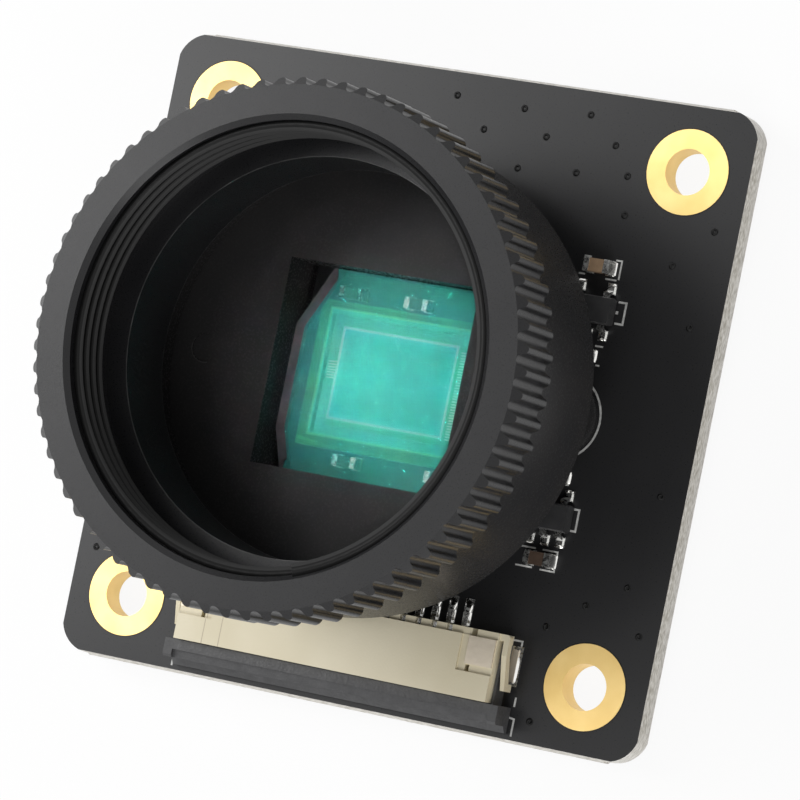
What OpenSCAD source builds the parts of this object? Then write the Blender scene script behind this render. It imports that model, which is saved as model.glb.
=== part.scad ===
// Square camera board with a screw-in lens adapter ring and a ribbon-cable connector.
// Units are millimetres. The origin is the centre of the four mounting holes on the
// back face of the board; +Z is the lens axis, and the connector is at the -Y edge.

/* [Board] */
// Width of the board along X
board_w = 38; // [36:0.5:60]
// Depth of the board along Y
board_d = 38; // [37:0.5:60]
// Thickness of the board
board_t = 1.6; // [1.2:0.1:2.4]
// Depth of the V-shaped score on each face of the snapped edges
score_depth = 0.5; // [0.1:0.05:0.55]
// How far each score leans in from the snapped web
score_lean = 0.18; // [0.05:0.01:0.4]
// Radius of the routed corners
corner_r = 2; // [0.5:0.1:3]
// How far the routed corners lie inside the snapped edges
corner_inset = 0.1; // [0.02:0.01:0.3]
// Distance between mounting holes along X
hole_span_x = 30; // [28:0.5:32]
// Distance between mounting holes along Y
hole_span_y = 30; // [28:0.5:32]
// Radius of the mounting holes inside their plating
hole_r = 1.35; // [0.8:0.05:1.6]
// Radius of the bare gold ring round each mounting hole
hole_pad_r = 2.5; // [2:0.1:2.8]
// Thickness of the plated barrel of a mounting hole
barrel_t = 0.05; // [0.03:0.01:0.1]
// Thickness of the pads above the face of the board
pad_t = 0.035; // [0.02:0.005:0.07]

/* [Lens holder] */
// Wall of the holder's barrel outside its bore
holder_wall = 1.45; // [1:0.05:1.5]
// Height of the holder's rim above the board
holder_h = 12.55; // [11:0.05:16]
// Height of the barrel's lower edge above the board
overhang_h = 4.6; // [4:0.1:5.5]
// Thickness of the barrel's floor
floor_t = 0.7; // [0.4:0.1:1.2]
// Width of the square base
base_w = 16; // [15.6:0.1:17]
// Radius of the base's corners
base_corner_r = 1.2; // [0.4:0.1:2]
// Width of the cavity in the base, over the parts beside the sensor
cavity_w = 13.7; // [13.2:0.1:14.2]
// Height of the cavity's ceiling above the board
cavity_h = 2.3; // [1.9:0.1:2.6]
// Distance of the screw bosses from the lens axis
boss_x = 10.15; // [9.8:0.05:10.5]
// Radius of the screw bosses
boss_r = 2.4; // [1.8:0.1:2.6]
// Distance from the lens axis to the two moulding marks on the floor
mark_x = 10.4; // [9.6:0.1:11]
// Radius of the moulding marks
mark_r = 0.85; // [0.4:0.05:1.2]
// Depth of the moulding marks
mark_depth = 0.12; // [0.05:0.01:0.3]

/* [Holder screws] */
// Radius of the screw shank
screw_r = 0.8; // [0.6:0.05:1]
// Radius of the screw head
screw_head_r = 1.55; // [1.3:0.05:2]
// Height of the screw head
screw_head_h = 1; // [0.7:0.05:1.4]
// Length of the screw inside its boss
screw_grip = 3.4; // [2.4:0.1:3.6]
// Clearance round the shank in the board
screw_clear = 0.2; // [0.05:0.05:0.3]
// Width of each slot of the cross recess
cross_w = 0.32; // [0.2:0.02:0.5]

/* [Adapter ring] */
// Radius of the ring's threaded bore
thread_r = 12.7; // [12.4:0.05:12.9]
// Distance from that bore to the tips of the knurl
ring_wall = 2.43; // [2.2:0.01:3.3]
// Height from the seat on the holder's rim to the front face
ring_h = 5; // [4:0.1:8]
// Number of lobes of the knurl
knurl_count = 74; // [48:1:90]
// Depth of the knurl
knurl_depth = 0.5; // [0.2:0.01:0.6]
// Radius of the rounded tips of the lobes
knurl_tip_r = 0.3; // [0.22:0.01:0.36]
// Height of the plain neck behind the knurl
neck_h = 0.85; // [0.4:0.05:1.5]
// Distance from the threaded bore to the outside of the neck
neck_wall = 1.3; // [0.9:0.05:1.5]
// Height of the bevel at the front of the knurl
front_bevel = 0.5; // [0.2:0.02:1]
// How far that bevel cuts in from the tips of the knurl
front_bevel_in = 0.48; // [0.1:0.01:0.8]
// Height of the bevel at the back of the knurl
back_bevel = 0.25; // [0.1:0.05:0.6]
// How far inside the lens thread's radius the holder's bore lies, half a thread's depth
thread_half = 0.25; // [0.2:0.01:0.3]
// Clearance between the spigot and the holder's bore
spigot_clear = 0.08; // [0.04:0.01:0.1]
// Bevel at the mouth of the ring's bore
mouth_bevel = 0.3; // [0.1:0.05:0.5]
// Depth of the ring's threaded bore
bore_depth = 4.75; // [3:0.05:4.8]
// Wall of the spigot
spigot_wall = 0.97; // [0.6:0.01:1.6]
// Length of the spigot below its seat
spigot_l = 4.2; // [2:0.1:5]
// Gap between the ring's seat and the holder's rim
seat_gap = 0.05; // [0.03:0.01:0.1]

/* [Filter and sensor] */
// Width of the square filter glass
filter_w = 12; // [11.6:0.1:12.6]
// Thickness of the filter glass
filter_t = 1.6; // [0.8:0.1:1.9]
// Gap round the filter in the holder's window
filter_gap = 0.06; // [0.03:0.01:0.15]
// Length along X of the large trimmed corner
trim_large_x = 1.75; // [0.5:0.05:2.5]
// Length along Y of the large trimmed corner
trim_large_y = 3.55; // [0.5:0.05:4.5]
// Length along X of the lower trimmed corner
trim_low_x = 0.75; // [0.2:0.05:1.5]
// Length along Y of the lower trimmed corner
trim_low_y = 2.3; // [0.5:0.05:3]
// Length along X of the upper nicked corner
trim_nick_x = 1.2; // [0.2:0.05:2]
// Length along Y of the upper nicked corner
trim_nick_y = 0.5; // [0.1:0.05:1.5]
// Width of the sensor package along X
package_w = 11.1; // [10:0.1:12]
// Depth of the sensor package along Y
package_d = 8.65; // [8:0.05:9]
// Height of the sensor package with its glass
package_h = 1.46; // [1.34:0.02:1.6]
// Thickness of the package's floor
package_floor = 0.6; // [0.3:0.05:0.65]
// Width of the package's wall
package_wall = 0.8; // [0.5:0.05:1]
// Thickness of the cover glass
lid_t = 0.4; // [0.3:0.05:0.45]
// How far the cover glass lies inside the package's outline
lid_inset = 0.2; // [0.05:0.05:0.4]
// Width of the sensor die along X
die_w = 8.2; // [6:0.1:8.3]
// Depth of the sensor die along Y
die_d = 6; // [4.5:0.1:6.2]
// Thickness of the sensor die
die_t = 0.25; // [0.15:0.01:0.3]

/* [Chips] */
// Length of the capacitors on the open board
cap_l = 1.6; // [1:0.1:2]
// Width and height of those capacitors
cap_w = 0.8; // [0.5:0.05:1]
// Length of the capacitors beside the sensor
side_cap_l = 1.5; // [1:0.1:1.7]
// Width and height of the capacitors beside the sensor
side_cap_w = 0.68; // [0.4:0.02:0.8]
// Length of the small resistors
res_l = 1.3; // [0.9:0.05:1.6]
// Width of the small resistors
res_w = 0.7; // [0.4:0.05:0.8]
// Height of the small resistors
res_h = 0.4; // [0.25:0.05:0.6]
// Share of a chip's length that each metal end takes
end_share = 0.22; // [0.12:0.01:0.3]
// Length of the five-lead chips
reg_l = 2.9; // [2.7:0.05:3.2]
// Width of the five-lead chips over the plastic
reg_w = 1.6; // [1.3:0.05:1.8]
// Height of the plastic of the five-lead chips
reg_h = 1; // [0.8:0.05:1.3]
// Gap under the plastic of the five-lead chips
reg_lift = 0.1; // [0.05:0.01:0.15]
// Reach of the leads beyond the plastic
lead_reach = 0.72; // [0.5:0.02:0.9]
// Width of the leads
lead_w = 0.4; // [0.25:0.05:0.5]
// Thickness of the leads
lead_t = 0.15; // [0.1:0.01:0.2]
// Distance between neighbouring leads
lead_pitch = 0.95; // [0.9:0.01:1.05]
// Distance from the holder's base to the middle of the chip column
chip_column = 2.9; // [2.6:0.1:4]
// Gap between the screw boss and the first small resistor
boss_gap = 0.95; // [0.6:0.05:1.2]
// Gap between the small resistor and the five-lead chip
res_gap = 0.56; // [0.3:0.02:0.8]
// Gap between the five-lead chip and the capacitor
chip_gap = 0.42; // [0.2:0.02:0.6]
// How far a pad shows past the metal it carries
pad_show = 0.18; // [0.05:0.01:0.2]

/* [Ribbon connector] */
// Number of contacts
ways = 15; // [6:1:16]
// Distance between neighbouring contacts
way_pitch = 1; // [0.8:0.05:1.05]
// Distance from the board's edge to the front of the housing
conn_inset = 2.05; // [1.9:0.05:2.6]
// Depth of the housing along Y
housing_d = 4; // [3.8:0.1:4.6]
// Height of the housing above the board
housing_h = 2.4; // [2.2:0.05:3.2]
// Distance from the last contact to the end of the housing's body
end_w = 3.15; // [2.9:0.05:3.6]
// Drop of the rear strip below the top of the housing
rear_drop = 0.2; // [0.05:0.05:0.4]
// Depth along Y of the rear strip
rear_strip = 0.4; // [0.3:0.05:0.6]
// Distance from the last contact to the end of the cable slot
slot_side = 1.15; // [0.9:0.05:1.3]
// Thickness of the wall behind the cable slot
slot_wall = 0.5; // [0.4:0.05:0.6]
// Height of the cable slot's floor above the board
slot_floor = 0.6; // [0.45:0.05:0.7]
// Thickness of the housing over the cable slot
roof_t = 0.5; // [0.35:0.05:0.7]
// Width of the contacts
contact_w = 0.3; // [0.2:0.02:0.4]
// Thickness of the contacts
contact_t = 0.2; // [0.12:0.02:0.25]
// Clearance round each contact
contact_clear = 0.03; // [0.02:0.01:0.06]
// Length of the contact tails behind the housing
tail_l = 1.1; // [0.6:0.05:1.4]
// Thickness of the housing's outer arms at their root
arm_t = 0.35; // [0.25:0.05:0.5]
// Thickness of the outer arms at their front end
arm_tip_t = 0.25; // [0.1:0.05:0.25]
// Distance from the front of the housing to the front end of an outer arm
arm_setback = 0.8; // [0.4:0.1:1.2]
// Width of the gap between the body and an outer arm
arm_gap = 0.25; // [0.2:0.01:0.4]
// Height of an outer arm at its front end
arm_front_h = 1.4; // [1:0.05:1.8]
// Height of an outer arm at its root
arm_root_h = 2; // [1.8:0.05:2.1]
// Thickness of an outer arm from top to underside
arm_rail = 0.5; // [0.3:0.05:0.7]
// Length and extra depth of the hook at the arm's front end
arm_hook = 0.45; // [0.2:0.05:0.5]
// Thickness of the sheet of the hold-downs
plate_t = 0.12; // [0.08:0.01:0.2]
// Depth of the recess that takes a hold-down's plate
recess_depth = 0.15; // [0.1:0.01:0.25]
// How far the recess runs in front of the plate
recess_step = 0.45; // [0.2:0.05:0.6]
// Distance from the last contact to the inner edge of the plate
plate_in = 1.4; // [1.2:0.05:1.6]
// Depth of the plate along Y
plate_d = 1.65; // [1.5:0.05:1.8]
// Distance from the plate's inner edge to the leg under it
leg_in = 0.75; // [0.5:0.05:1]
// Width of the leg along Y
leg_w = 0.7; // [0.5:0.05:0.72]
// Length of the foot along Y
foot_d = 1.9; // [1.4:0.1:2]
// How far the foot ends short of the outer arm's outer face
foot_in = 0.1; // [0.05:0.05:0.3]
// Height of the slide lock
slide_h = 2; // [1.85:0.05:2.2]
// Depth of the slide lock's bar along Y
slide_d = 1.1; // [0.8:0.05:1.2]
// Reach of the slide lock's lower lip past its bar
slide_lip = 0.4; // [0.1:0.05:0.5]
// How far the slide lock stands past the body at each end
slide_side = 0.7; // [0.6:0.05:1]
// Width of the full-height ears at the slide lock's ends
slide_ear = 0.55; // [0.3:0.05:0.8]
// Drop of the slide lock's top along its front half
slide_step = 0.2; // [0.1:0.05:0.3]
// Gap under the slide lock
slide_lift = 0.1; // [0.05:0.05:0.2]
// Height of the lower lip's front above the board
lip_h = 0.4; // [0.3:0.05:0.5]
// Clearance between the slide lock and the housing
slide_clear = 0.05; // [0.03:0.01:0.08]
// Length of the slide lock's tongue
tongue_l = 2.3; // [1.8:0.05:2.6]
// Height of the cable mouth in the slide lock
mouth_h = 0.5; // [0.35:0.05:0.6]

/* [Hidden] */

$fn = 96;
cut = 1;
z_pad = board_t + pad_t;

// Lens holder and ring: radii and levels
holder_bore_r = thread_r - thread_half;
holder_r = holder_bore_r + holder_wall;
spigot_r = holder_bore_r - spigot_clear;
spigot_in_r = spigot_r - spigot_wall;
neck_r = thread_r + neck_wall;
ring_r = thread_r + ring_wall;
z_over = board_t + overhang_h;
z_floor = z_over + floor_t;
z_rim = board_t + holder_h;
z_seat = z_rim + seat_gap;
z_face = z_seat + ring_h;
z_neck = z_seat + neck_h;
z_ledge = z_face - bore_depth;
pilot_h = screw_grip + 0.4;

// Knurl: round tips and round valleys, each tangent to the next
valley_r = ring_r - knurl_depth;
half_lobe = 180 / knurl_count;
tip_c = ring_r - knurl_tip_r;
tip_x = tip_c * cos(half_lobe);
valley_b = (valley_r * valley_r + tip_c * tip_c - 2 * valley_r * tip_x
    - knurl_tip_r * knurl_tip_r) / (2 * (knurl_tip_r + tip_x - valley_r));
valley_c = valley_r + valley_b;
tip_share = knurl_tip_r / (knurl_tip_r + valley_b);
touch_x = tip_c + tip_share * (valley_c * cos(half_lobe) - tip_c);
touch_y = tip_share * valley_c * sin(half_lobe);
knurl_core_r = norm([touch_x, touch_y]);
knurl_phase = 3.75;

// Sensor stack
z_glass = z_pad + package_h;
pocket_w = filter_w + 2 * filter_gap;
side_cap_y = package_d / 2 + 0.24 + side_cap_w / 2;
side_caps = [[0.15, 1], [-4.1, 1], [-2.4, -1], [3.6, -1]];

// Chip column at the right of the holder, from the boss outwards
column_x = base_w / 2 + chip_column;
reg_reach = reg_w / 2 + lead_reach;
res_y = boss_r + boss_gap + res_w / 2;
reg_y = res_y + res_w / 2 + res_gap + pad_show + reg_reach;
cap_y = reg_y + reg_reach + pad_show + chip_gap + cap_w / 2;
lower_shift = 0.5;

// Ribbon connector: y0 is the front of the housing, y1 its back
y0 = -board_d / 2 + conn_inset;
y1 = y0 + housing_d;
span = (ways - 1) * way_pitch;
body_x = span / 2 + end_w;
arm_in_x = body_x + arm_gap;
arm_out_x = arm_in_x + arm_t;
slide_x = body_x + slide_side;
strip_y = y1 - rear_strip;
slot_x = span / 2 + slot_side;
slot_back = strip_y - slot_wall;
slot_top = housing_h - roof_t;
plate_x0 = span / 2 + plate_in;
plate_x1 = body_x - 0.05;
plate_y0 = strip_y - plate_d;
recess_y0 = plate_y0 - recess_step;
leg_x = plate_x0 + leg_in;
leg_y1 = strip_y - leg_w;
leg_y0 = leg_y1 - leg_w;
foot_y1 = leg_y1 + foot_d / 5;
foot_y0 = foot_y1 - foot_d;
foot_x1 = arm_out_x - foot_in;
foot_room = pad_t + plate_t + 0.08;
slide_back = y0 - slide_clear;
ear_x = slide_x - slide_ear;
mouth_z = slot_floor + 0.15;
tongue_z0 = mouth_z + mouth_h + 0.05;
tongue_z1 = slot_top - slide_clear;

// ---------- shared shapes ----------

// Upright block between two opposite corners
module block(a, b) {
    translate(a) cube(b - a);
}

// Extrusion along X of a profile drawn in Y and Z
module side_profile(points, x0, x1) {
    translate([x0, 0, 0])
        rotate([90, 0, 90])
            linear_extrude(height = x1 - x0) polygon(points);
}

// Plate with four round corners
module round_plate(w, d, h, r) {
    block([-w / 2 + r, -d / 2, 0], [w / 2 - r, d / 2, h]);
    block([-w / 2, -d / 2 + r, 0], [w / 2, d / 2 - r, h]);
    for (sx = [-1, 1])
        for (sy = [-1, 1])
            translate([sx * (w / 2 - r), sy * (d / 2 - r), 0]) cylinder(r = r, h = h);
}

// Places its children at both ends of the connector, mirrored
module both_ends() {
    children();
    mirror([1, 0, 0]) children();
}

// Places its children at the four mounting holes
module at_holes() {
    for (sx = [-1, 1])
        for (sy = [-1, 1])
            translate([sx * hole_span_x / 2, sy * hole_span_y / 2, 0]) children();
}

// Ceramic middle of a chip that lies along X, with its underside at z = 0
module chip_middle(l, w, h) {
    m = l * (1 - 2 * end_share) / 2;
    block([-m, -w / 2 + 0.02, 0.02], [m, w / 2 - 0.02, h - 0.02]);
}

// The two metal ends of such a chip
module chip_ends(l, w, h) {
    e = l * end_share;
    for (s = [-1, 1])
        translate([s * (l / 2 - e / 2), 0, 0])
            block([-e / 2, -w / 2, 0], [e / 2, w / 2, h]);
}

// Pads under such a chip
module chip_pads(l, w) {
    e = l * end_share;
    for (s = [-1, 1])
        translate([s * (l / 2 - e / 2), 0, board_t])
            block([-e / 2 - pad_show / 2, -w / 2 - 0.05, 0],
                [e / 2 + pad_show / 2, w / 2 + 0.05, pad_t]);
}

// Moulded body of a five-lead chip, with draft above and below the leads
module reg_body() {
    m = reg_lift + reg_h / 2;
    d = reg_w * 0.056;
    band = lead_t * 0.7;
    side_profile([[-reg_w / 2 + d, reg_lift], [reg_w / 2 - d, reg_lift],
        [reg_w / 2, m - band], [reg_w / 2, m + band],
        [reg_w / 2 - d, reg_lift + reg_h], [-reg_w / 2 + d, reg_lift + reg_h],
        [-reg_w / 2, m + band], [-reg_w / 2, m - band]], -reg_l / 2, reg_l / 2);
}

// One gull-wing lead, leaving the plastic towards +Y
module gull_lead() {
    m = reg_lift + reg_h / 2;
    a = reg_w / 2;
    e = reg_reach;
    knee = a + lead_reach * 0.3;
    side_profile([[a, m - lead_t / 2], [knee - lead_t / 2, m - lead_t / 2],
        [knee + lead_t * 0.6, 0], [e, 0], [e, lead_t],
        [knee + lead_t * 1.6, lead_t], [knee + lead_t / 2, m + lead_t / 2],
        [a, m + lead_t / 2]], -lead_w / 2, lead_w / 2);
}

// Leads of a five-lead chip: two above, three below
module reg_leads() {
    for (s = [-1, 1]) translate([s * lead_pitch, 0, 0]) gull_lead();
    for (s = [-1, 0, 1]) translate([s * lead_pitch, 0, 0]) mirror([0, 1, 0]) gull_lead();
}

// Pads under those leads
module reg_pads() {
    for (s = [-1, 1]) translate([s * lead_pitch, 0, 0]) lead_pad();
    for (s = [-1, 0, 1]) translate([s * lead_pitch, 0, 0]) mirror([0, 1, 0]) lead_pad();
}

module lead_pad() {
    block([-lead_w / 2 - 0.08, reg_w / 2 + lead_reach * 0.3, board_t],
        [lead_w / 2 + 0.08, reg_reach + pad_show, z_pad]);
}

// ---------- board ----------

// Half outline of the scored section: v is half the width of that section
function scored(v) = [[-v + score_lean, 0], [v - score_lean, 0], [v, score_depth],
    [v, board_t - score_depth], [v - score_lean, board_t], [-v + score_lean, board_t],
    [-v, board_t - score_depth], [-v, score_depth]];

module corner_waste() {
    c = corner_r + corner_inset;
    for (sx = [0, 1])
        for (sy = [0, 1])
            mirror([sx, 0, 0]) mirror([0, sy, 0])
                translate([board_w / 2 - c, board_d / 2 - c, -cut])
                    difference() {
                        cube([c + cut, c + cut, board_t + 2 * cut]);
                        cylinder(r = corner_r, h = board_t + 2 * cut);
                    }
}

module circuit_board() {
    color("#26262a") difference() {
        intersection() {
            side_profile(scored(board_d / 2), -board_w / 2 - cut, board_w / 2 + cut);
            rotate([0, 0, -90])
                side_profile(scored(board_w / 2), -board_d / 2 - cut, board_d / 2 + cut);
        }
        corner_waste();
        at_holes()
            translate([0, 0, -cut]) cylinder(r = hole_r + barrel_t, h = board_t + 2 * cut);
        for (s = [-1, 1])
            translate([s * boss_x, 0, -cut])
                cylinder(r = screw_r + screw_clear, h = board_t + 2 * cut);
    }
}

module hole_plating() {
    color("#d8b25a") at_holes()
        rotate_extrude()
            polygon([[hole_r, -pad_t], [hole_pad_r, -pad_t], [hole_pad_r, 0],
                [hole_r + barrel_t, 0], [hole_r + barrel_t, board_t],
                [hole_pad_r, board_t], [hole_pad_r, z_pad], [hole_r, z_pad]]);
}

module solder_pads() {
    color("#c9ccd0") {
        for (c = side_caps)
            translate([c[0], c[1] * side_cap_y, 0]) chip_pads(side_cap_l, side_cap_w);
        at_caps() chip_pads(cap_l, cap_w);
        at_resistors() chip_pads(res_l, res_w);
        at_regulators() reg_pads();
        for (i = [0 : ways - 1])
            translate([i * way_pitch - span / 2, 0, 0])
                block([-contact_w / 2 - 0.12, y1 + 0.08, board_t],
                    [contact_w / 2 + 0.12, y1 + tail_l + 0.55, z_pad]);
        both_ends()
            block([body_x + 0.05, foot_y0 - 0.2, board_t], [foot_x1 + 0.22, foot_y1 + 0.2, z_pad]);
    }
}

// ---------- lens holder ----------

module lens_holder() {
    color("#1b1b1d") difference() {
        union() {
            translate([0, 0, z_over]) cylinder(r = holder_r, h = z_rim - z_over);
            translate([0, 0, board_t]) round_plate(base_w, base_w, overhang_h, base_corner_r);
            for (s = [-1, 1])
                translate([s * boss_x, 0, board_t]) cylinder(r = boss_r, h = overhang_h);
        }
        translate([0, 0, z_floor]) cylinder(r = holder_bore_r, h = z_rim);
        block([-pocket_w / 2, -pocket_w / 2, board_t - cut],
            [pocket_w / 2, pocket_w / 2, z_floor + cut]);
        block([-cavity_w / 2, -cavity_w / 2, board_t - cut],
            [cavity_w / 2, cavity_w / 2, board_t + cavity_h]);
        for (s = [-1, 1])
            translate([s * boss_x, 0, board_t - cut]) cylinder(r = screw_r, h = pilot_h + cut);
        for (s = [-1, 1])
            translate([s * mark_x, 0, z_floor - mark_depth]) cylinder(r = mark_r, h = cut);
    }
}

module holder_screws() {
    dome = screw_head_h * 0.35;
    point = screw_r / 2;
    color("#8f9297") for (s = [-1, 1])
        translate([s * boss_x, 0, 0])
            difference() {
                union() {
                    translate([0, 0, -screw_head_h])
                        cylinder(r1 = screw_head_r * 0.8, r2 = screw_head_r, h = dome);
                    translate([0, 0, dome - screw_head_h])
                        cylinder(r = screw_head_r, h = screw_head_h - dome);
                    cylinder(r = screw_r, h = board_t + screw_grip - point);
                    translate([0, 0, board_t + screw_grip - point])
                        cylinder(r1 = screw_r, r2 = screw_r * 0.56, h = point);
                }
                for (a = [0, 90])
                    rotate([0, 0, a])
                        block([-screw_head_r * 0.6, -cross_w / 2, -screw_head_h - cut],
                            [screw_head_r * 0.6, cross_w / 2, -screw_head_h * 0.45]);
            }
}

// ---------- adapter ring ----------

// Outline of the knurl: a wave of round lobes and round valleys
module knurl_outline() {
    difference() {
        union() {
            circle(r = knurl_core_r, $fn = 4 * knurl_count);
            for (i = [0 : knurl_count - 1])
                rotate((2 * i) * half_lobe + knurl_phase)
                    translate([tip_c, 0]) circle(r = knurl_tip_r, $fn = 64);
        }
        for (i = [0 : knurl_count - 1])
            rotate((2 * i + 1) * half_lobe + knurl_phase)
                translate([valley_c, 0]) circle(r = valley_b + 0.003, $fn = 64);
    }
}

module adapter_ring() {
    color("#2a2a2c") difference() {
        union() {
            intersection() {
                translate([0, 0, z_neck])
                    linear_extrude(height = z_face - z_neck) knurl_outline();
                rotate_extrude()
                    polygon([[0, z_neck], [ring_r - back_bevel, z_neck],
                        [ring_r, z_neck + back_bevel], [ring_r, z_face - front_bevel],
                        [ring_r - front_bevel_in, z_face], [0, z_face]]);
            }
            translate([0, 0, z_seat]) cylinder(r = neck_r, h = neck_h);
            translate([0, 0, z_seat - spigot_l])
                cylinder(r = spigot_r, h = spigot_l);
        }
        translate([0, 0, z_ledge]) cylinder(r = thread_r, h = bore_depth + cut);
        translate([0, 0, z_face - mouth_bevel])
            cylinder(r1 = thread_r, r2 = thread_r + mouth_bevel, h = mouth_bevel);
        translate([0, 0, z_seat - spigot_l - cut]) cylinder(r = spigot_in_r, h = z_face);
    }
}

// ---------- filter and sensor ----------

module ir_filter() {
    w = filter_w / 2;
    color("#5fb9a8") translate([0, 0, z_glass])
        linear_extrude(height = filter_t)
            polygon([[-w, w - trim_large_y], [-w + trim_large_x, w],
                [w - trim_nick_x, w], [w, w - trim_nick_y],
                [w, -w], [-w + trim_low_x, -w], [-w, -w + trim_low_y]]);
}

module sensor_package() {
    color("#3d7a5d") translate([0, 0, z_pad])
        difference() {
            block([-package_w / 2, -package_d / 2, 0],
                [package_w / 2, package_d / 2, package_h - lid_t]);
            block([-package_w / 2 + package_wall, -package_d / 2 + package_wall, package_floor],
                [package_w / 2 - package_wall, package_d / 2 - package_wall, package_h]);
        }
}

module sensor_die() {
    color("#2f9c93") translate([0, 0, z_pad + package_floor])
        block([-die_w / 2, -die_d / 2, 0], [die_w / 2, die_d / 2, die_t]);
}

module sensor_cover_glass() {
    a = package_w / 2 - lid_inset;
    b = package_d / 2 - lid_inset;
    color("#a8d8cf") translate([0, 0, z_glass - lid_t])
        block([-a, -b, 0], [a, b, lid_t]);
}

module at_side_caps() {
    for (c = side_caps)
        translate([c[0], c[1] * side_cap_y, z_pad]) children();
}

module sensor_capacitors() {
    color("#8a7350") at_side_caps() chip_middle(side_cap_l, side_cap_w, side_cap_w);
}

module sensor_capacitor_ends() {
    color("#b9bcc0") at_side_caps() chip_ends(side_cap_l, side_cap_w, side_cap_w);
}

// ---------- chips on the open board ----------

module at_upper(y) {
    translate([column_x, y, 0]) children();
}

module at_lower(y) {
    translate([column_x - lower_shift * 0.15, -y + lower_shift, 0]) children();
}

module at_caps() {
    at_upper(cap_y) children();
    at_lower(cap_y) children();
}

module at_regulators() {
    at_upper(reg_y) children();
    at_lower(reg_y) children();
}

module at_resistors() {
    at_upper(res_y) children();
    at_lower(res_y + lower_shift / 2) children();
}

module capacitor_upper() {
    color("#b08d66") at_upper(cap_y) translate([0, 0, z_pad]) chip_middle(cap_l, cap_w, cap_w);
}

module capacitor_upper_ends() {
    color("#c4c7ca") at_upper(cap_y) translate([0, 0, z_pad]) chip_ends(cap_l, cap_w, cap_w);
}

module capacitor_lower() {
    color("#4a382c") at_lower(cap_y) translate([0, 0, z_pad]) chip_middle(cap_l, cap_w, cap_w);
}

module capacitor_lower_ends() {
    color("#c4c7ca") at_lower(cap_y) translate([0, 0, z_pad]) chip_ends(cap_l, cap_w, cap_w);
}

module regulator_upper() {
    color("#202022") at_upper(reg_y) translate([0, 0, z_pad]) reg_body();
}

module regulator_upper_leads() {
    color("#c0c3c6") at_upper(reg_y) translate([0, 0, z_pad]) reg_leads();
}

module regulator_lower() {
    color("#202022") at_lower(reg_y) translate([0, 0, z_pad]) reg_body();
}

module regulator_lower_leads() {
    color("#c0c3c6") at_lower(reg_y) translate([0, 0, z_pad]) reg_leads();
}

module chip_resistors() {
    color("#2b2b2e") at_resistors() translate([0, 0, z_pad]) chip_middle(res_l, res_w, res_h);
}

module chip_resistor_ends() {
    color("#c4c7ca") at_resistors() translate([0, 0, z_pad]) chip_ends(res_l, res_w, res_h);
}

// ---------- ribbon connector ----------

// Outer arm of the housing: a rail clear of the board, rooted in the rear strip, thinner
// and lower towards its front end, where it hooks down
module housing_arm() {
    r = min(arm_t, rear_strip) / 2;
    front = y0 + arm_setback;
    back = strip_y + r / 2;
    under = arm_root_h - arm_rail;
    low = arm_front_h - arm_rail;
    intersection() {
        union() {
            linear_extrude(height = housing_h)
                polygon([[arm_in_x, back], [arm_out_x, back], [arm_out_x, front],
                    [arm_out_x - arm_tip_t, front]]);
            block([body_x - arm_t, strip_y, 0], [arm_out_x, y1 - r, housing_h]);
            block([body_x - arm_t, y1 - 1.5 * r, 0], [arm_out_x - r, y1, housing_h]);
            translate([arm_out_x - r, y1 - r, 0]) cylinder(r = r, h = housing_h);
        }
        side_profile([[y1 + 0.1, under], [y1 + 0.1, arm_root_h],
            [strip_y - arm_setback, arm_root_h], [front, arm_front_h],
            [front, low - arm_hook], [front + arm_hook, low - arm_hook],
            [front + arm_hook, low + 0.05], [strip_y - arm_setback, under]],
            0, arm_out_x + 1);
    }
}

module fpc_housing() {
    cw = contact_w / 2 + contact_clear;
    color("#ddd2b6") translate([0, 0, board_t])
        difference() {
            union() {
                block([-body_x, y0, 0], [body_x, strip_y, housing_h]);
                block([-body_x, strip_y - 0.1, 0], [body_x, y1, housing_h - rear_drop]);
                both_ends() housing_arm();
            }
            // cable slot, open to the front
            block([-slot_x, y0 - cut, slot_floor], [slot_x, slot_back, slot_top]);
            // a groove for each contact through the rear wall and the rear strip
            for (i = [0 : ways - 1])
                translate([i * way_pitch - span / 2, 0, 0]) {
                    block([-cw, strip_y, -cut], [cw, y1 + cut, housing_h + cut]);
                    block([-cw, slot_back - cut / 2, slot_floor],
                        [cw, y1, slot_floor + contact_t + contact_clear]);
                }
            both_ends() {
                // recess for the plate of the hold-down
                block([plate_x0 - recess_step, recess_y0, housing_h - recess_depth],
                    [body_x + cut / 4, strip_y, housing_h + cut]);
                // slit for its leg and room for its foot
                block([leg_x - 0.03, leg_y0 - 0.03, -cut],
                    [leg_x + plate_t + 0.03, leg_y1 + 0.03, housing_h + cut]);
                block([leg_x - 0.03, foot_y0 - 0.05, -cut],
                    [arm_out_x + cut, foot_y1 + 0.05, foot_room]);
                // small moulding pocket and the notch behind the plate
                block([plate_x0 + 0.05, recess_y0 + 0.02, housing_h - 0.8],
                    [plate_x0 + 0.3, recess_y0 + 0.4, housing_h + cut]);
                block([plate_x0 + 0.05, strip_y - 0.05, housing_h - 0.9],
                    [plate_x0 + 0.4, y1 + cut, housing_h + cut]);
            }
        }
}

// Contact: tail on its pad, root in the rear strip, sprung beam along the slot's floor
module contact() {
    f = slot_floor;
    t = contact_t;
    e = housing_d / 4;
    top = housing_h - rear_drop - t;
    side_profile([[y1 + tail_l, pad_t], [y1 + tail_l, pad_t + t], [y1 - 0.06, pad_t + t],
        [y1 - 0.06, top], [strip_y + 0.06, top],
        [strip_y + 0.06, f + t], [y0 + 1.5 * e, f + t], [y0 + e, f + 1.6 * t],
        [y0 + 0.7 * e, f + 1.2 * t], [y0 + 0.7 * e, f + 0.1 * t], [y0 + e, f + 0.5 * t],
        [y0 + 1.5 * e, f], [strip_y + 0.06, f], [strip_y + 0.06, pad_t]],
        -contact_w / 2, contact_w / 2);
}

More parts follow.
